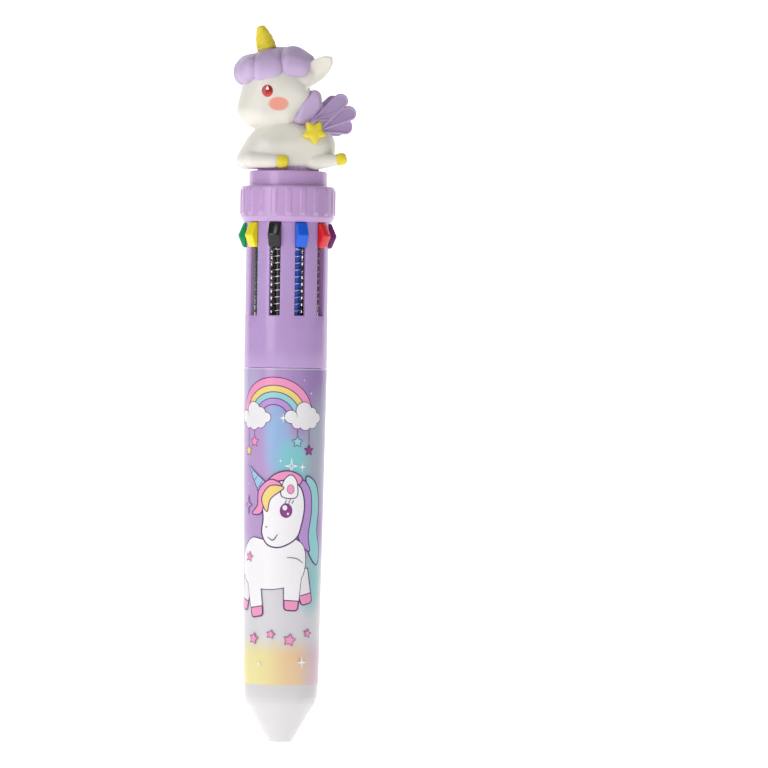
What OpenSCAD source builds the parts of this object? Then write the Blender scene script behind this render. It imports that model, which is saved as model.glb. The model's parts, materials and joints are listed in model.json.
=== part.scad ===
// Ten-colour click pen with a small unicorn figure that turns on its cap.
// Frame: +Z runs up the pen, the origin is the centre of the mouth at the writing end,
// and the figure looks along -X. Millimetres.

/* [Barrel] */
// Length of the lower barrel, from the writing end to the screw joint
lower_len = 81; // [72:1:110]
// Length of the upper barrel above the screw joint
upper_len = 38.3; // [38:0.1:48]
// Outer diameter of the upper barrel
barrel_d = 18; // [17.6:0.1:24]
// Wall of the upper barrel beside the slots
barrel_wall = 1.3; // [1:0.1:1.6]
// How much the slotted stretch of the upper barrel narrows towards its top
draft = 0.04; // [0.02:0.01:0.1]
// Outer diameter of the printed sleeve at its lower edge
grip_d = 16.2; // [15:0.1:20]
// Height of the printed sleeve's lower edge
sleeve_bottom = 12.7; // [12:0.1:20]
// Thickness of the printed sleeve
sleeve_t = 0.12; // [0.08:0.01:0.3]
// Wall of the lower barrel
lower_wall = 1.4; // [1:0.1:1.8]

/* [Writing end] */
// Diameter of the flat at the writing end
mouth_d = 4.8; // [4.4:0.1:6]
// Diameter of the hole that the points come out of
hole_d = 3.2; // [3:0.1:4]
// Length of the hole's straight wall
hole_len = 0.6; // [0.4:0.1:1]
// Height of the nose cone's wide end
cone_h = 8.65; // [8:0.05:10]

/* [Screw joint] */
// Length of the spigot on the upper barrel
spigot_len = 8; // [6:0.5:12]
// Wall of the spigot under its threads
spigot_wall = 0.9; // [0.7:0.1:1.1]
// Height of a thread over the spigot
thread_h = 0.3; // [0.2:0.05:0.4]
// Distance from one thread to the next
thread_pitch = 1.7; // [1.2:0.1:2.4]

/* [Slots and sliders] */
// Width of a slider's slot
slot_w = 2.4; // [2:0.1:2.6]
// Height of the slots' lower ends above the screw joint
slot_start = 11.3; // [10:0.1:14]
// Height of a slider's button
button_h = 5.4; // [4.4:0.1:6.6]
// Width of a slider's button
button_w = 2.6; // [2:0.1:3]
// How far a button's ridge stands out of the barrel
button_out = 1.7; // [1:0.05:3]
// How far a button's upper and lower edges stand out of the barrel
button_edge = 0.55; // [0.4:0.05:0.9]
// Height of the ridge as a share of the button's height
ridge_share = 0.48; // [0.3:0.01:0.7]
// Travel of a slider from rest to writing
travel = 12.5; // [10:0.1:12.5]
// Angle of the first slot about the pen in degrees
slot_phase = 170; // [0:1:359]

/* [Refills and springs] */
// Outer diameter of a refill's tube
refill_d = 2.3; // [1.9:0.05:2.35]
// Bore of a refill's tube
ink_d = 1.6; // [1.2:0.05:1.7]
// Length of a refill's brass point below its tube
point_len = 6.5; // [5:0.1:9]
// Depth of the socket that a slider holds its refill in
socket_depth = 5; // [4:0.1:6]
// Distance from the pen's axis to a resting point's end
point_ring_r = 3.75; // [3.7:0.05:4.2]
// How far a point stands out of the mouth when it writes
point_out = 2.8; // [2:0.1:3.5]
// Diameter of the spring wire
wire_d = 0.3; // [0.2:0.05:0.35]
// Turns in a spring
spring_turns = 11; // [8:1:12]

/* [Guide core] */
// Diameter of the core's axle
axle_d = 6.4; // [5:0.1:6.6]
// Height of the plate's underside above the screw joint
plate_start = 7.5; // [6:0.1:8]
// Thickness of the plate that the springs stand on
plate_t = 1.5; // [1:0.1:2]
// How far the latch ring stands out of the axle
latch_h = 0.7; // [0.4:0.05:0.8]

/* [Cap] */
// How far the cap's collar stands out of the barrel between its ribs
collar_wall = 1.1; // [1:0.05:2]
// Height of the collar
collar_h = 7.9; // [7:0.1:10]
// How far the collar comes down over the upper barrel
collar_cover = 6.8; // [6:0.1:8]
// Number of ribs around the collar
rib_count = 20; // [10:10:40]
// How far a rib stands out
rib_h = 0.2; // [0.1:0.05:0.5]
// Width of a rib
rib_w = 1.0; // [0.5:0.1:1.5]
// Diameter of the neck on the cap
neck_d = 16.9; // [15:0.1:19]
// Height of the neck
neck_h = 3.2; // [2.6:0.1:6]
// How far the cap's plug reaches into the barrel
plug_depth = 2.2; // [1.5:0.1:2.5]
// Bore of the socket that the figure's plug turns in
socket_d = 4.9; // [4:0.1:5.4]
// Length of that socket's bore
socket_len = 2.2; // [1.5:0.1:2.5]

/* [Figure plug] */
// Diameter of the plug's toothed disc
disc_d = 13.2; // [10:0.1:15]
// Thickness of the toothed disc
disc_t = 0.75; // [0.6:0.05:1.5]
// Number of teeth around the disc
tooth_count = 60; // [36:2:96]
// Diameter of the pin inside the figure
pin_d = 3.8; // [3:0.1:5]
// Length of the pin inside the figure
pin_len = 3.6; // [2:0.1:5]

/* [Figure] */
// Diameter of a leg
leg_d = 3.1; // [2.4:0.1:3.6]
// Diameter of the horn at its base
horn_d = 4.1; // [3:0.1:4.6]
// Length of the horn
horn_len = 5.2; // [4:0.1:8]
// Angle that the horn leans forwards in degrees
horn_lean = 16; // [0:1:30]
// Size of a star across its points
star_d = 5.2; // [4:0.1:6]
// Thickness of a wing
wing_t = 1.8; // [1.2:0.1:2.4]
// Angle that a wing stands away from the body in degrees
wing_splay = 16; // [5:1:30]

/* [Fits] */
// Gap around a turning or pushed-in piece
run_gap = 0.05; // [0.03:0.01:0.1]
// Gap around a sliding piece
slide_gap = 0.1; // [0.06:0.01:0.15]

/* [Hidden] */
COLOURS = ["green", "yellow", "black", "blue", "red",
           "purple", "orange", "brown", "light_blue", "pink"];
PAINTS = ["#0a9650", "#e8d824", "#2c2926", "#1261d8", "#e2202a",
          "#7d2478", "#ff8a1c", "#5b473a", "#14a3ea", "#f56db4"];
SHELL = "#b79ad0";
HAIR = "#bda8dc";
WHITE = "#f4f2ee";
GOLD = "#e3cf3c";
BRASS = "#c9a64a";
STEEL = "#c8ccd2";

count = len(COLOURS);
pitch = 360 / count;
fine = 96;

// Heights along the pen
z_slot = lower_len + slot_start;
z_band = z_slot - 0.3;
z_plate = lower_len + plate_start;
z_seat = z_plate + plate_t;
z_top = lower_len + upper_len;
z_collar = z_top - collar_cover;
z_shoulder = z_collar + collar_h;
z_neck = z_shoulder + neck_h;
z_stop = z_top - plug_depth;
z_axle_top = z_top - 0.8;
z_hook = z_neck - socket_len;
z_button = z_collar - slide_gap - button_h;
z_pivot = z_button + socket_depth / 2;
z_figure = z_neck + run_gap + disc_t;

// Radii of the barrels and the cap
barrel_r = barrel_d / 2;
bore_r = barrel_r - barrel_wall;
grip_r = grip_d / 2;
collar_r = barrel_r + collar_wall;
neck_r = neck_d / 2;
axle_r = axle_d / 2;
latch_r = axle_r + latch_h;
seat_r = bore_r - 0.8;

// Each refill hangs from its slider and leans inwards to the writing end
refill_r = refill_d / 2;
coil_r = refill_r + run_gap * 2 + wire_d / 2;
boss_r = coil_r + wire_d / 2 + run_gap;
ring_r = bore_r - boss_r - slide_gap;
point_rest_z = travel - point_out;
lean = atan((ring_r - point_ring_r) / (z_pivot - point_rest_z));
reach = (z_pivot - point_rest_z) / cos(lean);
full_lean = asin(ring_r / reach);
point_r = refill_r - 0.2;
tip_r = 0.35;
tube_top = -socket_depth / 2;
tube_end = reach - point_len;

// The screw joint lets the leaning refills through
spigot_in_r = axis_r(lower_len) + refill_r + slide_gap;
spigot_r = spigot_in_r + spigot_wall;
thread_n = floor((spigot_len - 2) / thread_pitch);

// Slider details
web_w = slot_w - 2 * slide_gap;
nib_z = z_button + socket_depth + 1;
nib_h = 1.5;
nib_w = 1.4;
nib_r = latch_r + run_gap;
latch_t = 1.2;
z_latch = nib_z + nib_h + run_gap - travel;

// Radius of a resting refill's axis, and of the printed sleeve, at a height
function axis_r(z) = ring_r - (z_pivot - z) * tan(lean);
function sleeve_r(z) = grip_r + (barrel_r - grip_r) * (z - sleeve_bottom) / (lower_len - sleeve_bottom);

module turned(points) rotate_extrude($fn = fine) polygon(points);

// Puts its children at one of the places around the pen, with +X pointing outwards
module at_place(i) rotate([0, 0, slot_phase + pitch * i]) children();

// Puts its children on a resting refill's axis, with the pivot at 0 and +Z towards the point
module along_refill() translate([ring_r, 0, z_pivot]) rotate([0, 180 + lean, 0]) children();

// ---- Shells of the pen ----

module upper_barrel() {
    z_spigot = lower_len - spigot_len;
    crests = [for (i = [0 : thread_n - 1], s = [[0, 0], [1, 0.25], [1, 0.5], [0, 0.75]])
        [spigot_r + s[0] * thread_h, z_spigot + 1 + thread_pitch * (i + s[1])]];
    color(SHELL) difference() {
        turned(concat(
            [[spigot_in_r, z_spigot], [spigot_r, z_spigot]], crests,
            [[spigot_r, lower_len], [barrel_r, lower_len], [barrel_r, z_band], [barrel_r - draft, z_top],
             [bore_r, z_top], [bore_r, z_plate], [seat_r, z_plate], [seat_r, lower_len + 1], [spigot_in_r, lower_len]]));
        for (i = [0 : count - 1]) at_place(i)
            translate([bore_r / 2, -slot_w / 2, z_slot]) cube([barrel_r, slot_w, upper_len]);
    }
}

module lower_barrel() {
    z_spigot = lower_len - spigot_len;
    z_end = lower_len - run_gap;
    joint_r = spigot_r + slide_gap;
    skin_r = grip_r - sleeve_t;
    grooves = [for (i = [thread_n - 1 : -1 : 0], s = [[0, 0.85], [1, 0.6], [1, 0.15], [0, -0.1]])
        [joint_r + s[0] * thread_h, z_spigot + 1 + thread_pitch * (i + s[1])]];
    color(WHITE) turned(concat(
        [[mouth_d / 2, 0], [mouth_d / 2 + 0.45, 0.8], [grip_r - 0.6, cone_h],
         [grip_r - 0.25, cone_h + 1.2], [skin_r, cone_h + 2.9], [skin_r, sleeve_bottom],
         [sleeve_r(z_end) - sleeve_t, z_end], [joint_r, z_end]],
        grooves,
        [[joint_r, z_spigot - 0.5], [joint_r - 1, z_spigot - 1.5],
         [skin_r - lower_wall, sleeve_bottom], [skin_r - lower_wall - 0.4, cone_h],
         [hole_d / 2, hole_len], [hole_d / 2, 0]]));
}

module printed_sleeve() {
    z_end = lower_len - run_gap;
    color("#cfc3e6") turned([[grip_r - sleeve_t, sleeve_bottom], [grip_r, sleeve_bottom],
        [sleeve_r(z_end), z_end], [sleeve_r(z_end) - sleeve_t, z_end]]);
}

module cap() {
    recess_r = axle_r + run_gap;
    color(SHELL) union() {
        turned([
            [recess_r, z_stop], [bore_r - run_gap, z_stop], [bore_r - run_gap, z_top],
            [barrel_r + run_gap, z_top], [barrel_r + run_gap, z_collar], [collar_r - 0.6, z_collar],
            [collar_r, z_collar + 1.1], [collar_r, z_shoulder - 0.9], [collar_r - 0.3, z_shoulder - 0.3],
            [collar_r - 0.9, z_shoulder], [neck_r, z_shoulder], [neck_r, z_neck - 0.5],
            [neck_r - 0.15, z_neck - 0.15], [neck_r - 0.5, z_neck], [socket_d / 2, z_neck],
            [socket_d / 2, z_hook], [recess_r, z_hook]]);
        for (i = [0 : rib_count - 1]) rotate([0, 0, slot_phase + 360 / rib_count * i])
            translate([collar_r - 0.5, -rib_w / 2, z_collar + 1.6])
                cube([rib_h + 0.5, rib_w, collar_h - 2.5]);
    }
}

// ---- Works inside the pen ----

module guide_core() {
    hole_r = refill_r + slide_gap + 0.1;
    color(WHITE) difference() {
        turned([
            [1.6, z_plate], [bore_r - run_gap, z_plate], [bore_r - run_gap, z_seat], [axle_r, z_seat],
            [axle_r, z_latch], [latch_r, z_latch], [axle_r + 0.1, z_latch + latch_t],
            [axle_r, z_latch + latch_t], [axle_r, z_axle_top], [1.6, z_axle_top]]);
        for (i = [0 : count - 1]) at_place(i) translate([0, 0, z_plate - 1]) {
            translate([axis_r(z_seat), 0, 0]) cylinder(r = hole_r, h = plate_t + 2, $fn = fine);
            translate([axis_r(z_seat) - 0.4, 0, 0]) cylinder(r = hole_r - 0.1, h = plate_t + 2, $fn = fine);
        }
    }
}

// A button outside the slot, a web through it, a boss that holds the refill, and a tail
// behind the collar whose nib drops under the latch ring
module slider(i) {
    color(PAINTS[i]) at_place(i) difference() {
        union() {
            rotate([90, 0, 0]) translate([0, 0, -button_w / 2]) linear_extrude(button_w) polygon([
                [barrel_r + slide_gap, z_button], [barrel_r + button_edge, z_button],
                [barrel_r + button_out, z_button + button_h * ridge_share],
                [barrel_r + button_edge, z_button + button_h],
                [barrel_r + slide_gap, z_button + button_h]]);
            translate([ring_r, -web_w / 2, z_button])
                cube([barrel_r + 0.4 - ring_r, web_w, button_h]);
            translate([ring_r - 0.8, -web_w / 2, nib_z])
                cube([barrel_r - slide_gap - ring_r + 0.8, web_w, z_stop - run_gap - nib_z]);
            translate([nib_r, -nib_w / 2, nib_z]) cube([ring_r - nib_r, nib_w, nib_h]);
            translate([ring_r, 0, z_button]) cylinder(r = boss_r, h = socket_depth + 1.4, $fn = fine);
        }
        along_refill() translate([0, 0, tube_top - run_gap])
            cylinder(r = refill_r + run_gap, h = socket_depth + 2, $fn = fine);
    }
}

module refill_tube(i) {
    color(PAINTS[i]) at_place(i) along_refill() difference() {
        translate([0, 0, tube_top]) cylinder(r = refill_r, h = tube_end - tube_top, $fn = fine);
        translate([0, 0, tube_top - 1]) cylinder(r = ink_d / 2, h = tube_end - tube_top + 2, $fn = fine);
    }
}

module refill_point(i) {
    color(BRASS) at_place(i) along_refill() rotate_extrude($fn = fine) polygon([
        [0, tube_end - 2.5], [ink_d / 2, tube_end - 2.5], [ink_d / 2, tube_end], [point_r, tube_end],
        [point_r, reach - 2.6], [0.6, reach - 1.3], [tip_r + 0.05, reach - 0.2], [tip_r - 0.1, reach],
        [0, reach]]);
}

// A spring stands on the plate and carries its slider's boss. Each half turn is a tilted half
// ring, bead-ended so that the turns join, between a flat ring at each end
module spring(i) {
    halves = 2 * spring_turns;
    flat_z = wire_d / 2 + 0.04;
    rise = (z_button - z_seat - 2 * flat_z) / halves / cos(lean);
    tilt = asin(rise / (2 * coil_r));
    color(STEEL) at_place(i) translate([axis_r(z_seat + flat_z), 0, z_seat + flat_z]) rotate([0, lean, 0]) {
        for (n = [0 : halves - 1]) translate([0, 0, rise * (n + 0.5)]) rotate([0, tilt, 180 * (n % 2)])
            coil_arc(180);
        for (n = [0 : halves]) translate([(n % 2 == 0 ? 1 : -1) * coil_r * cos(tilt), 0, rise * n])
            sphere(d = wire_d * 1.15, $fn = 24);
        for (n = [0, halves]) translate([0, 0, rise * n]) coil_arc(360);
    }
}

module coil_arc(angle) rotate_extrude(angle = angle, $fn = 48)
    translate([coil_r, 0]) circle(d = wire_d, $fn = 16);

// ---- Figure on the cap ----

// A toothed disc under the figure, a stem that turns in the cap's socket with a barb below it,
// and a pin inside the figure
module figure_plug() {
    stem_r = socket_d / 2 - run_gap;
    z_disc = z_neck + run_gap;
    disc_r = disc_d / 2;
    z_barb = z_hook - run_gap;
    color(SHELL) difference() {
        turned([
            [0, z_axle_top + 0.3], [stem_r - 0.8, z_axle_top + 0.3], [stem_r + 0.45, z_barb - 0.6],
            [stem_r + 0.45, z_barb], [stem_r, z_barb], [stem_r, z_disc], [disc_r, z_disc],
            [disc_r, z_figure], [pin_d / 2, z_figure], [pin_d / 2, z_figure + pin_len], [0, z_figure + pin_len]]);
        for (i = [0 : tooth_count - 1]) rotate([0, 0, 360 / tooth_count * i])
            translate([disc_r, 0, z_disc - 1]) rotate([0, 0, 45])
                cube([0.42, 0.42, 2 * disc_t + 2 + run_gap], center = true);
    }
}

cranium = [-3, 0, 17.4];
cranium_size = [7.1, 6.5, 7.3];
muzzle = [-6.2, 0, 12.4];
muzzle_size = [4.8, 4.9, 4];
jaw = [-2.4, 0, 13.2];
jaw_size = [5.2, 5.8, 4.6];
fore_ankle = [-4.6, -6.3, 1.7];
hind_ankle = [9.0, -6.6, 2];

module blob(at, size) translate(at) scale(size) sphere(1, $fn = 24);
module both_sides() { children(); mirror([0, 1, 0]) children(); }
module on_cap() translate([0, 0, z_figure]) children();

module head() hull() {
    blob(cranium, cranium_size);
    blob(muzzle, muzzle_size);
    blob(jaw, jaw_size);
}

module torso() difference() {
    hull() {
        blob([-4.4, 0, 4.4], [5.2, 6.6, 5]);
        blob([4.8, 0, 4.9], [5.5, 7, 5.2]);
        blob([-2.2, 0, 8.6], [4.4, 4.6, 3]);
        blob([1.2, 0, 0.9], [8.2, 6.8, 1.4]);
        blob([-9.2, 0, 2.2], [1.9, 5, 1.9]);
    }
    translate([-20, -20, -10]) cube([40, 40, 10]);
}

module leg(from, to) hull() {
    translate(from) sphere(d = leg_d, $fn = 20);
    translate(to) sphere(d = leg_d - 0.4, $fn = 20);
}

module ear() hull() {
    blob([2.6, -3.4, 19.2], [1.6, 1.4, 2.2]);
    blob([5.4, -5, 20.4], [1.6, 1.1, 2.6]);
    blob([7.4, -6.1, 23.1], [0.9, 0.8, 0.9]);
}

module figure_core() {
    head();
    torso();
    both_sides() {
        leg([-9.6, -4.3, 1.9], fore_ankle);
        leg([4.6, -5.6, 2], hind_ankle);
        ear();
    }
}

module unicorn_body() {
    color(WHITE) on_cap() difference() {
        figure_core();
        hooves_shape();
        horn_place() translate([0, 0, -3]) cylinder(d = 1.8 + 2 * run_gap, h = 6, $fn = 32);
        translate([0, 0, -1]) cylinder(d = pin_d + 2 * run_gap, h = pin_len + 1 + run_gap, $fn = 64);
    }
}

module lock(from, to, r) hull() {
    blob(from, [r * 0.9, 2.2, 1.8]);
    blob(to, [r, 2.1, r]);
}

module forelock() {
    color(HAIR) on_cap() difference() {
        union() {
            both_sides() {
                lock([-7.6, 0, 23.4], [-9.2, -2.4, 20.6], 2.5);
                lock([-4.6, -0.4, 24.6], [-5, -4.9, 21.8], 3.2);
                lock([0.4, -0.4, 24.9], [1.2, -4.6, 22.4], 3.6);
            }
            hull() {
                blob([-8.8, 0, 21.2], [2.8, 2.4, 3]);
                blob([1, 0, 22.6], [4.2, 3.4, 3.8]);
            }
        }
        figure_core();
        horn_place() translate([0, 0, -3]) cylinder(d = 1.8 + 2 * run_gap, h = 3.2, $fn = 32);
        horn_place() cylinder(d = horn_d + 0.6, h = horn_len, $fn = 48);
    }
}

module mane_shape() hull() {
    blob([4.4, 0, 15.8], [2, 4.4, 1.8]);
    blob([2.6, 0, 9.4], [2.1, 5.6, 2]);
}

module neck_mane() {
    color(HAIR) on_cap() difference() {
        mane_shape();
        figure_core();
    }
}

module horn_place() translate([-4.4, 0, 25.7]) rotate([0, -horn_lean, 0]) children();

// Bands that step inwards up to a round tip, over a peg that enters the hair
module horn() {
    bands = 4;
    r0 = horn_d / 2;
    r1 = 0.9;
    step = (horn_len - 0.6) / bands;
    sides = [for (i = [0 : bands - 1], s = [0.08, 0.3, 0.7, 0.94])
        [r0 + (r1 - r0) * (i + s) / bands + (s == 0.3 || s == 0.7 ? 0.12 : -0.06), step * (i + s)]];
    color(GOLD) on_cap() horn_place() rotate_extrude($fn = 48) polygon(concat(
        [[0, -2.4], [0.9, -2.4], [0.9, 0], [r0 - 0.1, 0]], sides,
        [[0.75, horn_len - 0.5], [0.5, horn_len - 0.12], [0, horn_len]]));
}

wing_root = [4.9, -6.4, 10];

module wing_place() translate(wing_root) rotate([0, 0, -wing_splay]) rotate([90, 0, 0]) children();

module feather(angle, length, r) rotate([0, 0, angle]) hull() {
    circle(r = 0.8, $fn = 24);
    translate([length - r, 0]) circle(r = r, $fn = 32);
}

// Three feathers that fan out backwards from the star
module wing_shape() wing_place() translate([0, 0, -wing_t / 2]) linear_extrude(wing_t) {
    feather(36, 9, 1.4);
    feather(11, 9.6, 1.6);
    feather(-10, 8.8, 1.7);
}

module wing() {
    color(HAIR) on_cap() difference() {
        wing_shape();
        figure_core();
        mane_shape();
    }
}

module wing_left() mirror([0, 1, 0]) wing();
module wing_right() wing();

// A five-pointed star that covers the wing's root
module star() {
    r = star_d / 2;
    color(GOLD) on_cap() difference() {
        translate([5.1, -6.3, 7.9]) rotate([90, 0, -4]) rotate([0, 0, 8]) linear_extrude(1.9)
            polygon([for (i = [0 : 9]) (i % 2 == 0 ? r : r * 0.55) * [sin(36 * i), cos(36 * i)]]);
        figure_core();
        mane_shape();
        wing_shape();
    }
}

module star_left() mirror([0, 1, 0]) star();
module star_right() star();

// A hoof caps the end of a leg
module foot(at, turn) translate(at) rotate([0, 90, turn]) {
    r = leg_d / 2 - 0.05;
    rotate_extrude($fn = 48) polygon([[0, 0.4], [r, 0.4], [r, 1.9], [r - 0.25, 2.4], [r - 0.75, 2.7], [0, 2.8]]);
}

module hooves_shape() both_sides() {
    foot(fore_ankle, -6);
    foot(hind_ankle, -12);
}

module hooves() color(GOLD) on_cap() hooves_shape();

upper_barrel();
lower_barrel();
printed_sleeve();
cap();
guide_core();
figure_plug();
unicorn_body();
forelock();
neck_mane();
horn();
wing_left();
wing_right();
star_left();
star_right();
hooves();
for (i = [0 : count - 1]) {
    slider(i);
    refill_tube(i);
    refill_point(i);
    spring(i);
}
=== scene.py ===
"""Looks for the ten-colour click pen: moulded barrels, a printed sleeve, sprung sliders and a
soft unicorn figure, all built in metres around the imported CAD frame."""

import json
from math import acos, asin, atan2, cos, degrees, exp, hypot, pi, radians, sin, sqrt, tan

import bmesh
import bpy
from mathutils import Matrix, Vector
from mathutils.bvhtree import BVHTree
from mathutils.geometry import tessellate_polygon


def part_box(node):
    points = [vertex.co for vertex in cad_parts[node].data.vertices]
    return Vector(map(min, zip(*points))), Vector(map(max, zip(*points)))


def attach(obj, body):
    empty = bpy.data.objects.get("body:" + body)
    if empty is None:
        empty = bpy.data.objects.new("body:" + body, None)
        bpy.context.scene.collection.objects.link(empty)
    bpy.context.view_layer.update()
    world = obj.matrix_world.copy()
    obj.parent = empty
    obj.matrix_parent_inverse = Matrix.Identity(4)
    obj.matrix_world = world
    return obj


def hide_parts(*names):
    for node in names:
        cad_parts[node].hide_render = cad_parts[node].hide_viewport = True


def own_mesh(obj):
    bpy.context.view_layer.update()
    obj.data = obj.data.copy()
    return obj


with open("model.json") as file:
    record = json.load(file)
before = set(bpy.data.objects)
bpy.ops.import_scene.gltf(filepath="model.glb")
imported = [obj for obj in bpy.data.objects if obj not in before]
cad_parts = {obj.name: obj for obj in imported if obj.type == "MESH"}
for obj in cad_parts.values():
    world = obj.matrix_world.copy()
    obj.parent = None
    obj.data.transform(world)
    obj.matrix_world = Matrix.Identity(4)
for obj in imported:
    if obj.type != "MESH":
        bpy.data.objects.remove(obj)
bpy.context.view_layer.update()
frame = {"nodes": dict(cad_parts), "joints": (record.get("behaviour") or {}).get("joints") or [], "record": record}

MM = 0.001
TAU = 2 * pi
COLOURS = ["green", "yellow", "black", "blue", "red",
           "purple", "orange", "brown", "light_blue", "pink"]

# ------------------------ sizes from the frame

JOINTS = {j["name"]: j for j in frame["joints"]}
BARREL_LOW, BARREL_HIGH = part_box("upper_barrel")
SLEEVE_LOW, SLEEVE_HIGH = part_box("printed_sleeve")
CAP_LOW, CAP_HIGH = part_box("cap")

# In millimetres, from the nose up
SLEEVE_Z = SLEEVE_LOW.z / MM
SPIGOT_Z = BARREL_LOW.z / MM
JOINT_Z = SLEEVE_HIGH.z / MM
COLLAR_Z = CAP_LOW.z / MM
TOP_Z = BARREL_HIGH.z / MM
NECK_Z = CAP_HIGH.z / MM
BASE_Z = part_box("unicorn_body")[0].z / MM
BARREL_R = BARREL_HIGH.x / MM


def place_angle(colour):
    """Angle about the pen of a colour's place, from its joint's hinge axis."""
    axis = JOINTS["lean_" + colour]["axis"]
    return atan2(-axis[0], axis[1])


PLACES = {c: place_angle(c) for c in COLOURS}
PHASE = PLACES["green"]
VIEW_AZIMUTH = -12.0
# Direction, about the pen, of the side that the camera faces
FRONT = radians(VIEW_AZIMUTH - 90)


# ------------------------ materials

def linear(hex_code):
    """An sRGB hex colour as a linear RGBA tuple."""
    out = []
    for i in (0, 2, 4):
        c = int(hex_code[i:i + 2], 16) / 255
        out.append(c / 12.92 if c <= 0.04045 else ((c + 0.055) / 1.055) ** 2.4)
    return (*out, 1.0)


class Nodes:
    """A short way to write the node tree of a material."""

    def __init__(self, name):
        self.material = bpy.data.materials.new(name)
        self.material.use_nodes = True
        self.tree = self.material.node_tree
        self.shader = self.tree.nodes["Principled BSDF"]

    def add(self, kind, inputs, **settings):
        """A new node with its inputs put in by name or place."""
        node = self.tree.nodes.new(kind)
        for key, value in settings.items():
            setattr(node, key, value)
        for key, value in inputs.items():
            self.put(node.inputs[key], value)
        return node.outputs

    def put(self, socket, value):
        """A socket takes a link, a plain value or a hex colour."""
        if isinstance(value, bpy.types.NodeSocket):
            self.tree.links.new(value, socket)
        else:
            socket.default_value = linear(value) if isinstance(value, str) else value

    def position(self):
        return self.add("ShaderNodeTexCoord", {})["Object"]

    def split(self, vector):
        return self.add("ShaderNodeSeparateXYZ", {0: vector})

    def math(self, operation, a, b=0.0):
        return self.add("ShaderNodeMath", {0: a, 1: b}, operation=operation)[0]

    def ramp(self, value, low, high):
        """0 at low and 1 at high."""
        inputs = {"Value": value, "From Min": low, "From Max": high}
        return self.add("ShaderNodeMapRange", inputs, interpolation_type="SMOOTHSTEP")["Result"]

    def fade(self, value, low, high):
        """1 at low and 0 at high."""
        return self.math("SUBTRACT", 1.0, self.ramp(value, low, high))

    def oval(self, u, z, u0, z0, half_u, half_z):
        """Squared distance from an oval's middle, which is 1 on its edge."""
        terms = []
        for value, middle, half in ((u, u0, half_u), (z, z0, half_z)):
            share = self.math("DIVIDE", self.math("SUBTRACT", value, middle), half)
            terms.append(self.math("POWER", self.math("ABSOLUTE", share), 2.0))
        return self.math("ADD", *terms)

    def mix(self, amount, a, b):
        return self.add("ShaderNodeMix", {"Factor": amount, "A": a, "B": b}, data_type="RGBA")["Result"]

    def noise(self, scale, detail=3.0):
        inputs = {"Scale": scale, "Detail": detail, "Vector": self.position()}
        return self.add("ShaderNodeTexNoise", inputs)["Fac"]

    def surface(self, colour, rough, spread, scale, detail=3.0, **values):
        """Sets the colour, a roughness that wanders from rough up by spread, and plain values."""
        self.put(self.shader.inputs["Base Color"], colour)
        wander = self.math("MULTIPLY", self.noise(scale, detail), spread)
        self.put(self.shader.inputs["Roughness"], self.math("ADD", rough, wander))
        for name, value in values.items():
            self.shader.inputs[name.replace("_", " ")].default_value = value

    def scatter(self, weight, radius, scale):
        """Lets light sink into the surface."""
        for name, value in (("Weight", weight), ("Radius", radius), ("Scale", scale)):
            self.shader.inputs["Subsurface " + name].default_value = value

    def grain(self, scale, strength):
        """A very fine relief."""
        inputs = {"Strength": strength, "Distance": GRAIN_DEPTH, "Height": self.noise(scale, 2.0)}
        self.put(self.shader.inputs["Normal"], self.add("ShaderNodeBump", inputs)[0])


GRAIN_DEPTH = 0.00002


def shade(colour, factor):
    return (*[min(1.0, c * factor) for c in colour[:3]], 1.0)


def plastic(name, hex_code, rough=0.25, coat=0.0, variation=0.05, soft=0.0, grain=0.06):
    """Moulded plastic: faint flow marks in its colour, uneven gloss and a very fine grain."""
    n = Nodes(name)
    base = linear(hex_code)
    flow = n.mix(n.noise(220.0, 2.0), shade(base, 1 - variation), shade(base, 1 + variation))
    n.surface(flow, rough - 0.02, 0.04, 900.0, 4.0, Coat_Weight=coat, Coat_Roughness=0.08)
    if soft:
        n.scatter(soft, (1.0, 0.8, 0.7), 0.0012)
    if grain:
        n.grain(9000.0, grain)
    return n.material


def metal(name, hex_code, rough):
    n = Nodes(name)
    base = linear(hex_code)
    n.surface(n.mix(n.noise(700.0), shade(base, 0.8), base), rough - 0.08, 0.16, 4000.0, Metallic=1.0)
    return n.material


# ------------------------ mesh tools, in millimetres
# A solid is a pair of lists, (points, faces)

def mesh_object(name, solid, material):
    """A smooth mesh from a solid in millimetres."""
    points, faces = solid
    mesh = bpy.data.meshes.new(name)
    mesh.from_pydata([(x * MM, y * MM, z * MM) for x, y, z in points], [], faces)
    mesh.materials.append(material)
    mesh.polygons.foreach_set("use_smooth", [True] * len(mesh.polygons))
    mesh.update()
    obj = bpy.data.objects.new(name, mesh)
    bpy.context.scene.collection.objects.link(obj)
    return obj


def piece(name, solid, material, body):
    """A mesh that rides on a CAD body."""
    obj = mesh_object(name, solid, material)
    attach(obj, body)
    return obj


def spokes(count):
    """Angles evenly round a ring."""
    return [TAU * k / count for k in range(count)]


def drained(bm):
    """The solid in a bmesh, which is freed."""
    bm.verts.index_update()
    solid = [tuple(v.co) for v in bm.verts], [tuple(v.index for v in f.verts) for f in bm.faces]
    bm.free()
    return solid


def ring_faces(rings, columns, closed=False):
    """Quads between rings of points, and from the last ring to the first if closed."""
    faces = []
    for i in range(rings if closed else rings - 1):
        here, above = i * columns, (i + 1) % rings * columns
        for j in range(columns):
            k = (j + 1) % columns
            faces.append((here + j, here + k, above + k, above + j))
    return faces


def ringed(rings):
    """A solid from a list of rings with equal counts, capped flat at both ends."""
    points = [p for ring in rings for p in ring]
    n = len(rings[0])
    caps = [tuple(reversed(range(n))), tuple(range(len(points) - n, len(points)))]
    return points, ring_faces(len(rings), n) + caps


def placed(solid, matrix):
    points, faces = solid
    return [tuple(matrix @ Vector(p)) for p in points], faces


def turned_over(faces):
    return [tuple(reversed(f)) for f in faces]


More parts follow.
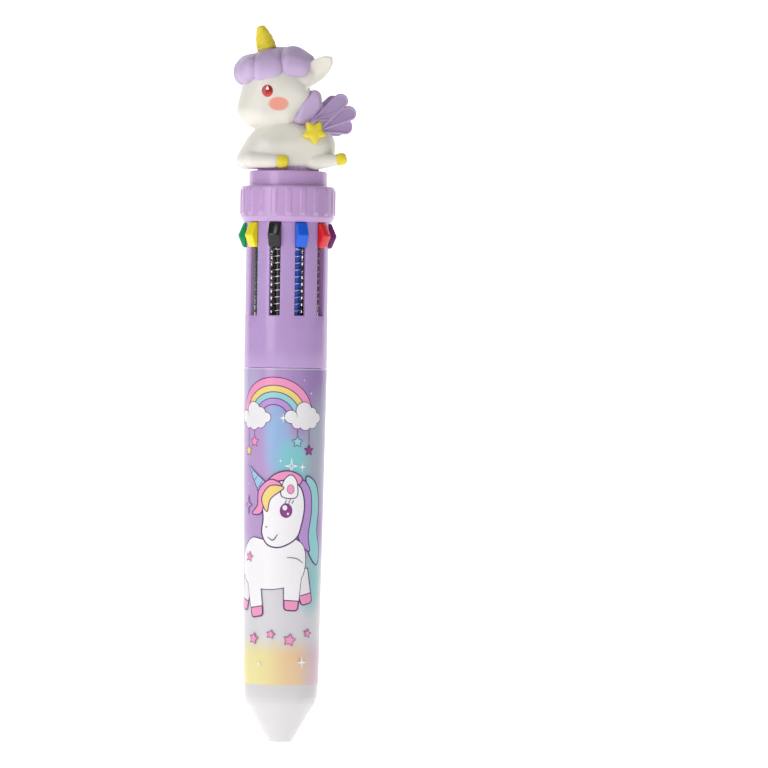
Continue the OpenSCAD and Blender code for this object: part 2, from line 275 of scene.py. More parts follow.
def joined(solids):
    """One solid of several."""
    points, faces = [], []
    for p, f in solids:
        faces += [tuple(i + len(points) for i in face) for face in f]
        points += p
    return points, faces


def fillet(corners, steps=5, closed=True):
    """Points of an outline whose corners (x, y, radius) are rounded with arcs."""
    out = []
    count = len(corners)
    for i, (x, y, r) in enumerate(corners):
        here = Vector((x, y))
        if r <= 0 or (not closed and i in (0, count - 1)):
            out.append((x, y))
            continue
        before = Vector(corners[i - 1][:2]) - here
        after = Vector(corners[(i + 1) % count][:2]) - here
        angle = before.angle(after)
        if angle > pi - 0.02:
            out.append((x, y))
            continue
        reach = min(r / tan(angle / 2), before.length * 0.49, after.length * 0.49)
        radius = reach * tan(angle / 2)
        start = here + before.normalized() * reach
        inward = (before.normalized() + after.normalized()).normalized()
        middle = here + inward * radius / sin(angle / 2)
        a = start - middle
        turn = pi - angle
        side = 1 if before.cross(after) < 0 else -1
        for k in range(steps + 1):
            t = side * turn * k / steps
            out.append((middle.x + a.x * cos(t) - a.y * sin(t),
                        middle.y + a.x * sin(t) + a.y * cos(t)))
    return out


def lathe(name, corners, material, body, columns=160, swell=None, steps=5):
    """Turns a closed outline of (r, z, fillet) about the pen. swell(r, z, angle) returns a new r."""
    outline = fillet(corners, steps)
    points = []
    for r, z in outline:
        for a in spokes(columns):
            rr = swell(r, z, a) if swell else r
            points.append((rr * cos(a), rr * sin(a), z))
    return piece(name, (points, ring_faces(len(outline), columns, True)), material, body)


def sharpen(obj, angle):
    """Keeps the shading flat across edges sharper than this."""
    limit = radians(angle)
    bm = bmesh.new()
    bm.from_mesh(obj.data)
    for e in bm.edges:
        e.smooth = len(e.link_faces) == 2 and e.calc_face_angle(0) < limit
    bm.to_mesh(obj.data)
    bm.free()


def apply_modifiers(obj):
    """Swaps an object's mesh for the result of its modifiers."""
    graph = bpy.context.evaluated_depsgraph_get()
    mesh = bpy.data.meshes.new_from_object(obj.evaluated_get(graph))
    obj.modifiers.clear()
    obj.data = mesh
    mesh.polygons.foreach_set("use_smooth", [True] * len(mesh.polygons))


# ------------------------ shells

LILAC = plastic("barrel_lilac", "b595cb", rough=0.26, coat=0.25)
CAP_LILAC = plastic("cap_lilac", "bf9bcd", rough=0.28, coat=0.25, grain=0.0)
WHITE = plastic("barrel_white", "d3d0d2", rough=0.22, coat=0.3, variation=0.015, soft=0.15)
CORE_WHITE = plastic("core_white", "d9d4dc", rough=0.4, variation=0.03)


def radius_at(node, z=None, tolerance=0.4):
    """The largest radius of a CAD node's points, near a height or anywhere, in millimetres."""
    return max(hypot(v.co.x, v.co.y) / MM for v in frame["nodes"][node].data.vertices
               if z is None or abs(v.co.z / MM - z) < tolerance)


SLEEVE_LOW_R = radius_at("printed_sleeve", SLEEVE_Z)
SLEEVE_T = 0.12
BORE_R = BARREL_R - 1.3
SLOT_W = 2.4


def grip_radius(z):
    """Outer radius of the printed sleeve at a height."""
    share = (z - SLEEVE_Z) / (JOINT_Z - SLEEVE_Z)
    return SLEEVE_LOW_R + (BARREL_R - SLEEVE_LOW_R) * share


def make_lower_barrel():
    skin = SLEEVE_LOW_R - SLEEVE_T
    wall, cone_z = 1.4, 8.65
    mouth_r = radius_at("lower_barrel", 0.0, 0.05)
    hole_r = frame["record"]["mounts"][0]["dims"]["r_mm"]
    corners = [
        (mouth_r, 0, 0.25), (mouth_r + 0.45, 0.8, 1.2), (SLEEVE_LOW_R - 0.6, cone_z, 2.2),
        (SLEEVE_LOW_R - 0.25, cone_z + 1.2, 1.6), (skin, cone_z + 2.9, 1.0), (skin, SLEEVE_Z, 0),
        (grip_radius(JOINT_Z) - SLEEVE_T, JOINT_Z, 0.05), (BORE_R, JOINT_Z, 0.05),
        (BORE_R, JOINT_Z - 8.5, 0), (BORE_R - 1, JOINT_Z - 9.5, 0), (skin - wall, SLEEVE_Z, 0),
        (skin - wall - 0.4, cone_z, 0), (hole_r, 0.6, 0.1), (hole_r, 0, 0.15)]
    obj = lathe("lower_barrel_shell", corners, WHITE, "pen_body")
    sharpen(obj, 50)
    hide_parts("lower_barrel")


def slot_columns(r):
    """Angles around the barrel, each with whether the stretch after it lies in a slot."""
    half = asin(SLOT_W / 2 / r)
    slot_steps, fin_steps = 3, 4
    out = []
    for i in range(len(COLOURS)):
        a = PHASE + TAU * i / len(COLOURS)
        out += [(a - half + 2 * half * k / slot_steps, True) for k in range(slot_steps)]
        start, end = a + half, a + TAU / len(COLOURS) - half
        out += [(start + (end - start) * k / fin_steps, False) for k in range(fin_steps)]
    return out


def make_upper_barrel():
    """The slotted barrel as a grid of quads: the columns follow the slots' edges."""
    foot_z, slot_z, spigot_top = JOINT_Z + 0.05, JOINT_Z + 11.35, JOINT_Z + 7
    spigot_r, spigot_bore = BARREL_R - 1.5, BORE_R - 1.2
    heights = [foot_z, JOINT_Z + 4, slot_z - 3, *(slot_z + k for k in (0, 4, 9, 14, 19, 23)), TOP_Z]
    first_open = heights.index(slot_z)
    outer, inner = slot_columns(BARREL_R), slot_columns(BORE_R)
    n, rows = len(outer), len(heights)
    rings = [(BARREL_R, z, outer) for z in heights] + [(BORE_R, z, inner) for z in heights]
    spigot = [(spigot_r, foot_z), (spigot_r, SPIGOT_Z), (spigot_bore, SPIGOT_Z), (spigot_bore, spigot_top),
              (BORE_R, spigot_top)]
    rings += [(r, z, outer) for r, z in spigot]
    points = [(r * cos(a), r * sin(a), z) for r, z, ring in rings for a, _ in ring]
    faces = []

    def at(ring, col):
        return ring * n + col % n

    def quad(low, high, col):
        return at(low, col), at(low, col + 1), at(high, col + 1), at(high, col)

    for row in range(rows - 1):
        for col in range(n):
            if row < first_open or not outer[col][1]:
                faces.append(quad(row, row + 1, col))
                faces.append(quad(rows + row + 1, rows + row, col))
    for col in range(n):
        before, here = outer[col - 1][1], outer[col][1]
        if before != here:
            for row in range(first_open, rows - 1):
                wall = (at(row, col), at(row + 1, col), at(rows + row + 1, col), at(rows + row, col))
                faces.append(wall[::-1] if here else wall)
        sill = first_open if here else rows - 1
        faces.append(quad(sill, rows + sill, col))
    # From the outside's foot, down and up round the spigot, to the inside's foot
    path = [0, *range(2 * rows, len(rings)), rows]
    faces += [quad(low, high, col) for high, low in zip(path, path[1:]) for col in range(n)]
    obj = piece("upper_barrel_shell", (points, faces), LILAC, "pen_body")
    bevel = obj.modifiers.new("edges", "BEVEL")
    bevel.width = 0.16 * MM
    bevel.segments = 3
    bevel.limit_method = "ANGLE"
    bevel.angle_limit = radians(50)
    apply_modifiers(obj)
    sharpen(obj, 55)
    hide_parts("upper_barrel")


def smooth_step(x, low, high):
    t = min(1.0, max(0.0, (x - low) / (high - low)))
    return t * t * (3 - 2 * t)


def make_cap():
    """Ribbed collar and neck in one moulding."""
    ribs, rib_half, rib_h = 20, 0.58, 0.2
    cap_r = radius_at("cap") - rib_h
    neck_r = radius_at("cap", NECK_Z - 0.5, 0.1)
    shoulder = NECK_Z - 3.2
    socket_r, socket_z, hollow_z, roof_r = 2.45, NECK_Z - 2.2, TOP_Z - 2.2, 7.6
    seat_r = BARREL_R + 0.05

    def swell(r, z, a):
        if r < cap_r - 0.08 or not COLLAR_Z + 1.2 < z < shoulder - 0.3:
            return r
        step = TAU / ribs
        off = abs((a - PHASE + step / 2) % step - step / 2) * cap_r
        across = 1 - smooth_step(off, rib_half - 0.08, rib_half + 0.1)
        foot = smooth_step(z, COLLAR_Z + 1.45, COLLAR_Z + 1.85)
        head = 1 - smooth_step(z, shoulder - 1.05, shoulder - 0.5)
        return r + rib_h * across * (foot * head)

    # Close rows up the collar's side, for the ribs' ends
    side = [(cap_r, COLLAR_Z + 1.1 + k * 0.22, 0) for k in range(1, 27)]
    side = [p for p in side if p[1] < shoulder - 1.0]
    corners = [
        (seat_r, COLLAR_Z, 0.1), (cap_r - 0.6, COLLAR_Z, 0.25), (cap_r, COLLAR_Z + 1.05, 0.6),
        *side,
        (cap_r, shoulder - 0.12, 0.75), (cap_r - 1.2, shoulder, 0.2), (neck_r, shoulder, 0.14),
        (neck_r, NECK_Z, 0.42), (neck_r - 1.3, NECK_Z, 0.1), (neck_r - 1.5, NECK_Z - 0.35, 0.1),
        (socket_r, NECK_Z - 0.35, 0.05), (socket_r, socket_z, 0), (socket_r + 0.8, socket_z, 0),
        (socket_r + 0.8, hollow_z, 0), (roof_r, hollow_z, 0), (roof_r, TOP_Z, 0), (seat_r, TOP_Z, 0)]
    obj = lathe("cap_shell", corners, CAP_LILAC, "pen_body", columns=480, swell=swell, steps=4)
    sharpen(obj, 60)
    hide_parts("cap")


def make_plug():
    """Toothed disc that carries the figure, with its stem and barb in the cap."""
    disc_r, teeth, tooth_depth = 6.6, 72, 0.26
    stem_r, barb_r, peg_r, axis_r = 2.4, 2.85, 1.9, 0.01
    low, barb_z = NECK_Z + 0.05, NECK_Z - 2.25

    def swell(r, z, a):
        if r < disc_r - 0.2:
            return r
        return r - tooth_depth * (0.5 + 0.5 * cos(teeth * a)) ** 0.6

    corners = [(axis_r, TOP_Z - 0.5, 0), (1.6, TOP_Z - 0.5, 0.2), (barb_r, NECK_Z - 2.9, 0.1),
               (barb_r, barb_z, 0.05), (stem_r, barb_z, 0), (stem_r, low, 0.05), (disc_r, low, 0.1),
               (disc_r, BASE_Z, 0.16), (peg_r, BASE_Z, 0), (peg_r, BASE_Z + 3.5, 0.2),
               (axis_r, BASE_Z + 3.5, 0)]
    obj = lathe("plug_disc", corners, CAP_LILAC, "figure", columns=720, swell=swell, steps=3)
    sharpen(obj, 60)
    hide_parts("figure_plug")


# ------------------------ sliders, refills and springs

BUTTON_HEX = dict(zip(COLOURS, ("0d9a55", "e9dc1e", "1b1919", "0f5fdc", "e3222b",
                                "7c2374", "ff7f14", "5d4739", "11a0ea", "f262b0")))
BUTTON_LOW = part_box("slider_green")[0].z / MM
BUTTON_HIGH = COLLAR_Z - 0.1
TAIL_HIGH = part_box("slider_green")[1].z / MM
TIP_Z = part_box("refill_point_green")[0].z / MM
PIVOT_R = hypot(*JOINTS["lean_green"]["pos_m"][:2]) / MM
PIVOT_Z = JOINTS["lean_green"]["pos_m"][2] / MM
SEAT_Z = JOINTS["click_green"]["deforming_nodes"][0]["fixed_end_z_m"] / MM

WIRE_R = 0.15


def spun(solid, angle):
    """A solid turned about the pen."""
    c, s = cos(angle), sin(angle)
    return [(x * c - y * s, x * s + y * c, z) for x, y, z in solid[0]], solid[1]


def add_box(bm, low, high):
    size = Vector(high) - Vector(low)
    for v in bmesh.ops.create_cube(bm, size=1.0)["verts"]:
        v.co = Vector(low) + Vector([(v.co[i] + 0.5) * size[i] for i in range(3)])


def slider_solid():
    """One slider, pointing along +X: a bevelled button, web, tail, nib and boss."""
    bm = bmesh.new()
    low, high, half = BUTTON_LOW, BUTTON_HIGH, 1.3
    ridge = low + (high - low) * 0.48
    profile = [(BARREL_R + 0.1, low), (BARREL_R + 0.6, low), (BARREL_R + 1.7, ridge),
               (BARREL_R + 0.5, high), (BARREL_R + 0.1, high)]
    ends = [[bm.verts.new((x, y, z)) for x, z in profile] for y in (-half, half)]
    bm.faces.new(ends[0])
    bm.faces.new(list(reversed(ends[1])))
    for k in range(5):
        m = (k + 1) % 5
        bm.faces.new((ends[0][m], ends[0][k], ends[1][k], ends[1][m]))
    bmesh.ops.recalc_face_normals(bm, faces=bm.faces)
    outer = [e for e in bm.edges if sum(v.co.x for v in e.verts) > 2 * BARREL_R + 0.3]
    bmesh.ops.bevel(bm, geom=outer, offset=0.34, segments=5, profile=0.5, affect="EDGES")
    add_box(bm, (PIVOT_R, -1.1, low), (BARREL_R + 0.4, 1.1, high - 0.05))
    add_box(bm, (PIVOT_R - 0.8, -1.1, low + 6), (BARREL_R - 0.1, 1.1, TAIL_HIGH))
    add_box(bm, (3.95, -0.7, low + 6), (PIVOT_R, 0.7, low + 7.5))
    boss = bmesh.ops.create_cone(bm, cap_ends=True, segments=32, radius1=1.6, radius2=1.6, depth=6.4)
    for v in boss["verts"]:
        v.co += Vector((PIVOT_R, 0, low + 3.2))
    return drained(bm)


def tube(path, radius, sides):
    """A round tube along a path."""
    rings = []
    for i, p in enumerate(path):
        ahead = Vector(path[min(i + 1, len(path) - 1)]) - Vector(path[max(i - 1, 0)])
        across = ahead.cross(Vector((0, 0, 1))).normalized()
        up = across.cross(ahead).normalized()
        ring = []
        for a in spokes(sides):
            ring.append(tuple(Vector(p) + (across * cos(a) + up * sin(a)) * radius))
        rings.append(ring)
    return ringed(rings)


def lean_line(z):
    """Distance from the pen's axis of a resting refill at a height."""
    tip_r = 3.75
    return PIVOT_R - (PIVOT_Z - z) * (PIVOT_R - tip_r) / (PIVOT_Z - TIP_Z)


def spring_path():
    """Centre line of a spring at place +X: a closed turn at each end and eleven open ones."""
    turns, steps, r, end_rise = 11, 22, 1.44, 0.25
    low, high = SEAT_Z + WIRE_R, BUTTON_LOW - WIRE_R
    path = []
    for i in range((turns + 2) * steps + 1):
        t = i / steps
        share = min(1.0, max(0.0, (t - 1) / turns))
        z = (low + (high - low - 2 * end_rise) * share + end_rise * min(t, 1)
             + end_rise * max(0.0, t - 1 - turns))
        a = TAU * t
        path.append((lean_line(z) + r * cos(a), r * sin(a), z))
    return path


STEEL = metal("spring_steel", "dcdee2", 0.36)
BRASS = metal("point_brass", "c9a14c", 0.3)


def dress(name, material):
    """Gives a CAD node that stays in sight its finished material."""
    slots = frame["nodes"][name].data.materials
    slots.clear()
    slots.append(material)


def make_works():
    """Ten sliders, springs and refills, one of each for every colour."""
    slider, coil = slider_solid(), tube(spring_path(), WIRE_R, 8)
    for c in COLOURS:
        gloss = plastic("button_" + c, BUTTON_HEX[c], rough=0.16, coat=0.25, variation=0.03, grain=0.0)
        gloss.node_tree.nodes["Principled BSDF"].inputs["Specular IOR Level"].default_value = 0.3
        ink = plastic("ink_" + c, BUTTON_HEX[c], rough=0.22, coat=0.5, variation=0.12, grain=0.0)
        obj = piece("slider_button_" + c, spun(slider, PLACES[c]), gloss, "slide_" + c)
        sharpen(obj, 40)
        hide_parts("slider_" + c)
        obj = piece("spring_coil_" + c, spun(coil, PLACES[c]), STEEL, "pen_body")
        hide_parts("spring_" + c)
        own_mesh(obj)
        dress("refill_tube_" + c, ink)
        dress("refill_point_" + c, BRASS)


make_lower_barrel()
make_upper_barrel()
make_cap()
make_plug()
make_works()
dress("guide_core", CORE_WHITE)


# ------------------------ printed sleeve

SLEEVE_MEAN_R = 8.6
# Soft patches of the print's background: (across, height), half sizes, amount, colour
SKY_PATCHES = [((-9.0, 77.0), (5.0, 6.0), 0.7, "b9b4d6"), ((-1.6, 66.0), (3.6, 11.0), 1.0, "8fb2dc"),
               ((2.6, 60.5), (5.0, 6.5), 1.0, "78c8cd"), ((8.6, 63.0), (5.0, 14.0), 0.8, "a1b0b8")]
GROUND_PATCH = ((7.5, 35.0), (4.5, 8.0), 0.9, "86c6c9")


def sleeve_material():
    """Pastel background of the print, from soft patches placed by turn and height, with painted shade on the side
    away from the key light and a painted highlight along the film's top edge.
    """
    n = Nodes("sleeve_print")
    x, y, z = n.split(n.position())

    def along(to_x, to_y):
        return n.math("ADD", n.math("MULTIPLY", x, to_x), n.math("MULTIPLY", y, to_y))

    turn = n.math("ARCTAN2", along(-sin(FRONT), cos(FRONT)),
                  along(cos(FRONT), sin(FRONT)))
    across = n.math("MULTIPLY", turn, SLEEVE_MEAN_R)
    up = n.math("MULTIPLY", z, 1 / MM)
    wave = n.math("MULTIPLY", n.math("SUBTRACT", n.noise(90.0, 2.0), 0.5), 0.9)

    def patched(colour, middle, size, amount, hex_code):
        off = n.math("ADD", n.oval(across, up, *middle, *size), wave)
        return n.mix(n.math("MULTIPLY", n.fade(off, 0.0, 1.25), amount), colour, hex_code)

    # Painted shade: the print's lilac darkens towards the camera's right, away from the key light
    painted_shade_right = n.math("MULTIPLY", n.ramp(across, -2.0, 7.0), 0.7)
    colour = n.mix(painted_shade_right, "b595c8", "9477b4")
    # Both ends of the film meet at the back in the same colour
    back = n.ramp(n.math("ABSOLUTE", across), 13.0, 25.0)
    colour = n.mix(back, colour, "a78bc0")
    for patch in SKY_PATCHES:
        colour = patched(colour, *patch)
    colour = n.mix(n.fade(up, 34.0, 47.0), colour, "d4d1d6")
    colour = patched(colour, *GROUND_PATCH)
    band = n.mix(n.ramp(across, -6.0, 3.0), "e6db96", "e4c295")
    band = n.mix(n.ramp(across, 3.0, 9.0), band, "d5b8c2")
    band = n.mix(back, band, "dfc4b6")
    colour = n.mix(n.fade(up, 18.5, 24.0), colour, band)
    # Painted highlight: a pale line along the film's top edge
    edge = n.math("MULTIPLY", n.ramp(up, JOINT_Z - 0.38, JOINT_Z - 0.28), 0.55)
    colour = n.mix(edge, colour, "e0d6e6")
    n.surface(colour, 0.26, 0.06, 1200.0, Coat_Weight=0.2)
    return n.material


def make_sleeve():
    low, top = grip_radius(SLEEVE_Z), JOINT_Z - 0.05
    corners = [(low - SLEEVE_T, SLEEVE_Z, 0), (low, SLEEVE_Z, 0.05)]
    corners += [(grip_radius(z), z, 0) for z in (20, 30, 40, 50, 60, 70)]
    corners += [(grip_radius(top), top, 0.05), (grip_radius(top) - SLEEVE_T, top, 0)]
    obj = lathe("printed_sleeve_film", corners, sleeve_material(), "pen_body", columns=256)
    sharpen(obj, 60)
    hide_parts("printed_sleeve")


PRINT_HEX = {"ink": "55206a", "pink": "ee93be", "yellow": "eed377", "teal": "8fd0d4", "lilac": "b98fd2",
             "cloud": "e9e7ea", "white": "f1eff2", "blue": "9cc3e6", "violet": "8a2f86"}
# Each shape of the print lies this much above the one before, so that none flickers
LAYER = 0.003
FIRST_LAYER = 0.012
# The flat shapes are cut at this spacing before they are bent round the pen
CUT = 0.3
CUTS = 50


class Print:
    """Flat shapes in (across, height) millimetres, wrapped on the sleeve in layers."""

    def __init__(self):
        self.shapes = {}
        self.layer = 0

    def fill(self, outline, colour, outline_width=0.0, step=1.0):
        self.layer += step
        flat = [Vector((u, z, 0)) for u, z in outline]
        faces = [tuple(t) for t in tessellate_polygon([flat])]
        self.shapes.setdefault(colour, []).append((outline, faces, self.layer))
        if outline_width:
            self.line(outline + outline[:1], outline_width)

    def line(self, path, width=0.2):
        """An ink line, which thins out to both ends if it is open."""
        self.layer += 1
        left, right = [], []
        count = len(path)
        closed = path[0] == path[-1]
        for i, (u, z) in enumerate(path):
            before = path[i - 1] if i else path[-2 if closed else 0]
            after = path[i + 1] if i + 1 < count else path[1 if closed else -1]
            d = Vector((after[0] - before[0], after[1] - before[1])).normalized()
            share = 1.0 if closed else 0.45 + 0.55 * sin(pi * i / (count - 1))
            off = Vector((-d.y, d.x)) * width / 2 * share
            left.append((u + off.x, z + off.y))
            right.append((u - off.x, z - off.y))
        faces = [(i, i + 1, count + i + 1, count + i) for i in range(count - 1)]
        self.shapes.setdefault("ink", []).append((left + right, faces, self.layer))

    def wrap(self, turn):
        """Makes one piece for each colour, turned about the pen from the front."""
        for colour, shapes in self.shapes.items():
            bm = bmesh.new()
            for points, faces, layer in shapes:
                verts = [bm.verts.new((u, z, layer)) for u, z in points]
                for f in faces:
                    if len({verts[i] for i in f}) == len(f):
                        bm.faces.new([verts[i] for i in f])
            for k in range(-CUTS, CUTS + 1):
                bmesh.ops.bisect_plane(bm, geom=bm.verts[:] + bm.edges[:] + bm.faces[:],
                                       plane_co=(k * CUT, 0, 0), plane_no=(1, 0, 0))
            for v in bm.verts:
                u, z, layer = v.co
                r = grip_radius(z) + FIRST_LAYER + layer * LAYER
                a = FRONT + turn + u / grip_radius(z)
                v.co = (r * cos(a), r * sin(a), z)
            for f in bm.faces:
                f.normal_update()
                middle = f.calc_center_median()
                if f.normal.x * middle.x + f.normal.y * middle.y < 0:
                    f.normal_flip()
            name = "print_%s_%d" % (colour, round(degrees(turn)))
            obj = piece(name, drained(bm), PRINTS[colour], "pen_body")


def smooth_line(points, closed=False, steps=6):
    """A smooth curve through points."""
    out = []
    count = len(points)
    for i in range(count if closed else count - 1):
        near = [i + k if closed else min(max(i + k, 0), count - 1) for k in (-1, 0, 1, 2)]
        p = [points[k % count] for k in near]
        for s in range(steps):
            t = s / steps
            out.append(tuple(
                0.5 * (2 * p[1][c] + (p[2][c] - p[0][c]) * t
                       + (2 * p[0][c] - 5 * p[1][c] + 4 * p[2][c] - p[3][c]) * t * t
                       + (3 * p[1][c] - p[0][c] - 3 * p[2][c] + p[3][c]) * t ** 3) for c in (0, 1)))
    if not closed:
        out.append(points[-1])
    return out


def arc(u, z, r, start, end, steps=24):
    angles = [radians(start + (end - start) * k / steps) for k in range(steps + 1)]
    return [(u + r * cos(a), z + r * sin(a)) for a in angles]


def ellipse(u, z, ru, rz, steps=32):
    return [(u + ru * cos(a), z + rz * sin(a)) for a in spokes(steps)]


def soft_star(u, z, r, waist=0.52, turn=0.0):
    """A five-pointed star with rounded corners."""
    corners = []
    for k in range(10):
        reach = r * waist if k % 2 else r
        a = radians(turn) + pi * k / 5
        corners.append((u + reach * sin(a), z + reach * cos(a)))
    return smooth_line(corners, True, 3)


def sparkle(u, z, ru, rz):
    """A four-pointed sparkle with hollow sides."""
    out = []
    for k in range(4):
        a, b = pi / 2 * k, pi / 2 * (k + 1)
        for s in range(8):
            t = s / 8
            bow = 1 - 1.2 * t * (1 - t) * 2
            out.append((u + ru * bow * (cos(a) * (1 - t) + cos(b) * t),
                        z + rz * bow * (sin(a) * (1 - t) + sin(b) * t)))
    return out


def draw_sky(art):
    """Rainbow, clouds, hanging stars and sparkles."""
    u0, z0 = -2.3, 69.8
    edges = [9.2, 7.45, 6.05, 4.7, 3.3]
    for colour, outer, inner in zip(("pink", "yellow", "teal", "lilac"), edges, edges[1:]):
        art.fill(arc(u0, z0, outer, 2, 178) + arc(u0, z0, inner, 178, 2), colour, 0.2)
    drops = ((-7.6, -1.4, 6.7, "yellow"), (-7.6, 0.6, 4.7, "pink"), (4.4, -1.4, 4.7, "teal"),
             (4.4, 1.4, 6.5, "violet"))
    puffs = [(-2.9, 0.2, 1.35), (-1.5, -1.1, 1.2), (0.1, 1.5, 1.85), (0.4, -1.2, 1.45), (0.4, 0.4, 1.9),
             (2.2, -0.9, 1.35), (2.1, 0.9, 1.3), (3.6, 0.0, 1.05)]
    for cloud in (-7.6, 4.4):
        for middle, du, drop, colour in drops:
            if middle == cloud:
                u = cloud + du
                art.line([(u, z0 - 2), (u, z0 - drop / 2), (u, z0 - drop + 0.9)], 0.14)
                art.fill(soft_star(u, z0 - drop, 1.25), colour, 0.13)
        for grow, colour in ((0.14, "ink"), (0.0, "cloud")):
            for u, z, r in puffs:
                art.fill(ellipse(cloud + u, z0 + 0.5 + z, r + grow, r + grow), colour, step=0.3)
    for u, z, ru, rz in ((-0.2, 70.2, 0.75, 1.1), (1.75, 59.9, 1.55, 1.85), (4.2, 59.7, 0.75, 1.15),
                         (-0.6, 61.0, 0.4, 0.4), (6.2, 75.6, 0.35, 0.35), (4.4, 78.4, 0.25, 0.25),
                         (-9.0, 56.0, 0.3, 0.3)):
        art.fill(sparkle(u, z, ru, rz), "white")
    art.fill(sparkle(-8.7, 51.4, 1.3, 2.2), "lilac", 0.16)
    art.fill(sparkle(1.75, 59.9, 0.8, 0.95), "teal")


def leg_outlines(hip, foot):
    """A tapered leg with a rounded foot, and the hoof at its end."""
    hip, foot = Vector(hip), Vector(foot)
    down = (foot - hip).normalized()
    side = Vector((-down.y, down.x))
    out = []
    for top, half in ((hip, 1.9), (foot - down * 2.1, 1.52)):
        corners = (top + side * half, foot + side * 1.45, foot - side * 1.45, top - side * half)
        out.append(fillet([(c.x, c.y, r) for c, r in zip(corners, (0, 0.7, 0.7, 0))], 4))
    return out


def draw_unicorn(art):
    """A plain unicorn of a few round shapes, looking left."""
    def soft(points, colour, width):
        art.fill(smooth_line(points, True), colour, width)

    soft([(5.2, 57.6), (8.2, 55.8), (9.1, 51), (8.6, 46), (9.6, 41.5), (8.6, 38.6), (6.2, 41.0),
          (5.4, 46), (5.8, 52)], "teal", 0.3)
    soft([(3.8, 56.6), (6.3, 54.8), (6.7, 50), (5.9, 45), (6.3, 41.5), (3.9, 43.4), (3.0, 48)],
         "lilac", 0.26)
    far = [leg_outlines((-8.4, 37.0), (-10.4, 28.9)), leg_outlines((4.0, 37.5), (5.8, 30.2))]
    near = [leg_outlines((-6.9, 36.0), (-5.5, 27.4)), leg_outlines((2.4, 36.5), (2.0, 28.8))]
    body = smooth_line([(-10.8, 38.0), (-10.0, 41.6), (-7.4, 44.2), (-4.6, 44.0), (-2.2, 43.4), (0.6, 44.6),
                        (4.2, 43.2), (5.2, 40.0), (4.6, 36.4), (2.6, 34.4), (-1.8, 33.4), (-5.6, 33.6),
                        (-9.2, 35.0)], True)
    for leg, hoof in far:
        art.fill(leg, "cloud", 0.3)
        art.fill(hoof, "pink", 0.24)
    # The near legs and the body share one outline
    shared = [body] + [leg for leg, _ in near]
    for outline in shared:
        art.line(outline + outline[:1], 0.36)
    for outline in shared:
        art.fill(outline, "white")
    for _, hoof in near:
        art.fill(hoof, "pink", 0.24)
    soft([(-3.6, 55.8), (-1.6, 58.2), (1.6, 58.8), (4.2, 57.0), (1.0, 54.2)], "pink", 0.26)
    soft([(-4.6, 52.4), (-3.4, 55.4), (0.2, 56.8), (3.6, 55.6), (4.8, 51.6), (4.0, 46.8), (2.8, 44.2),
          (-0.4, 42.4), (-3.2, 42.9), (-4.6, 45.4), (-4.3, 48.6)], "white", 0.32)
    soft([(-0.3, 53.4), (0.1, 56.6), (1.7, 58.0), (3.0, 56.4), (2.9, 53.2)], "white", 0.22)
    art.fill(ellipse(1.6, 54.9, 0.75, 1.0), "pink", 0.1)
    art.fill([(-5.0, 53.2), (-3.0, 55.8), (-8.6, 60.0)], "blue", 0.28)
    for k in (0.25, 0.5, 0.75):
        # Rings across the horn, from its lower edge to its upper one
        low = (-5.0 - 3.6 * k, 53.2 + 6.8 * k)
        high = (-3.0 - 5.6 * k, 55.8 + 4.2 * k)
        art.line([low, ((low[0] + high[0]) / 2 - 0.1, (low[1] + high[1]) / 2 - 0.25), high], 0.16)
    soft([(-0.2, 55.4), (-2.6, 57.0), (-5.4, 54.8), (-5.8, 51.4), (-7.3, 49.6), (-4.9, 49.6),
          (-3.6, 52.4)], "pink", 0.26)
    soft([(0.2, 55.2), (-2.8, 55.6), (-4.7, 52.8), (-3.4, 50.0), (-2.6, 52.8)], "yellow", 0.24)
    art.fill(ellipse(0.7, 50.3, 1.25, 1.5), "violet", 0.14)
    art.fill(ellipse(0.45, 50.9, 0.5, 0.55), "white")
    art.fill(ellipse(1.1, 49.6, 0.22, 0.25), "white")
    art.line(smooth_line([(-3.2, 44.6), (-2.0, 43.9), (-1.0, 45.2)]), 0.26)
    for u, rise in ((0.4, 1.0), (1.2, 1.1), (1.9, 0.9)):
        art.line([(u, 51.7), (u + 0.15, 51.7 + rise * 0.5), (u + 0.45, 51.7 + rise)], 0.18)
    art.line(smooth_line([(-3.7, 46.9), (-3.5, 46.6), (-3.3, 46.9)]), 0.15)
    art.fill(soft_star(-8.0, 40.2, 1.2, 0.5, 10), "pink", 0.12)
    art.line(smooth_line([(1.0, 40.2), (3.0, 40.0), (4.6, 39.0)]), 0.18)
    for u, z, r in ((-6.4, 22.6, 1.3), (-2.2, 23.6, 1.0), (1.8, 22.4, 1.4), (6.0, 23.8, 1.0)):
        art.fill(soft_star(u, z, r, turn=12), "pink", 0.12)
    art.fill(sparkle(4.6, 17.6, 1.1, 1.5), "white")
    art.fill(sparkle(-4.8, 17.2, 0.6, 0.8), "white")


PRINTS = {key: plastic("print_" + key, hex_code, rough=0.3, coat=0.2, variation=0.02, grain=0.0)
          for key, hex_code in PRINT_HEX.items()}
make_sleeve()
front_art = Print()
draw_sky(front_art)
draw_unicorn(front_art)
front_art.wrap(0.0)
back_art = Print()
draw_sky(back_art)
back_art.wrap(pi)


# ------------------------ figure

FIGURE_TURN = radians(12)


def seen(across, depth, height):
    """A figure point from its place in the side view the camera has, with -Y depth nearest."""
    return Vector(((across + depth * sin(FIGURE_TURN)) / cos(FIGURE_TURN), depth, height))


def upright(x, y, z):
    """As seen(), for a point whose depth doesn't shift it across the view."""
    return Vector((seen(x, 0, 0).x, y, z))


def local(x, y, z):
    return Vector((x, y, z + BASE_Z))


